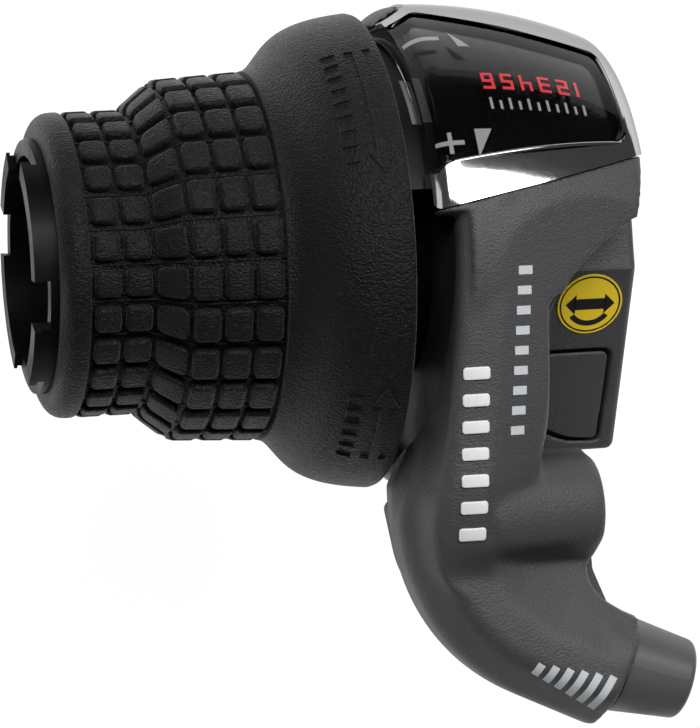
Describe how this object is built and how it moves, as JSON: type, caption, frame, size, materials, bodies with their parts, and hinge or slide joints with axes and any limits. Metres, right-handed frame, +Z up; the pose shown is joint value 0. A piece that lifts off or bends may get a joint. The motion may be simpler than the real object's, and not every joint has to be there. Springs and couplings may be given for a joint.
{
  "type": "twist grip shifter",
  "caption": "Twist grip gear shifter for a handlebar: treaded rubber sleeve turning against a black clamp housing with gear window, chrome bezel and curved cable outlet.",
  "frame": {"origin": "on the handlebar axis at the middle of the clamp band", "axes": "+X along the bar towards its middle, +Y towards the rider, +Z up"},
  "size_m": [0.0654, 0.0745, 0.0496],
  "materials": {
    "core_plastic": "gloss black moulded plastic",
    "grip_rubber": "black rubber with a leather grain",
    "inner_plastic": "dark grey moulded plastic",
    "steel": "zinc plated steel",
    "housing_plastic": "dark grey grained moulded plastic",
    "chrome_trim": "chrome plated plastic",
    "lens": "smoked clear plastic",
    "display": "gloss black with printed marks",
    "socket_plastic": "satin black moulded plastic",
    "label": "yellow printed film"
  },
  "bodies": {
    "housing": {"main_housing": "housing_plastic", "bezel": "chrome_trim", "window_lens": "lens", "display_plate": "display", "rear_cover": "housing_plastic", "rear_cover_screws": "steel", "cable_guide": "inner_plastic", "casing_socket": "socket_plastic", "clamp_body": "housing_plastic", "round_label": "label", "clamp_band": "steel", "clamp_bolt": "steel", "clamp_nut": "steel", "clamp_body_screws": "steel", "index_spring": "steel", "spring_screw": "steel", "drum_cover": "inner_plastic", "thrust_washer": "inner_plastic"},
    "grip": {"grip_core": "core_plastic", "grip_rubber": "grip_rubber", "indicator_ring": "inner_plastic", "cable_drum": "inner_plastic", "retaining_ring": "steel"},
    "cover": {"access_cover": "housing_plastic"}
  },
  "joints": [
    {"name": "twist", "type": "hinge", "parent": "housing", "child": "grip", "pos_m": [0, 0, 0], "axis": [1, 0, 0], "range_deg": [0, 70], "deforming": ["index_spring"]},
    {"name": "cover_lift", "type": "slide", "parent": "housing", "child": "cover", "axis": [0, 0, 1], "range_m": [0, 0.012]}
  ]
}
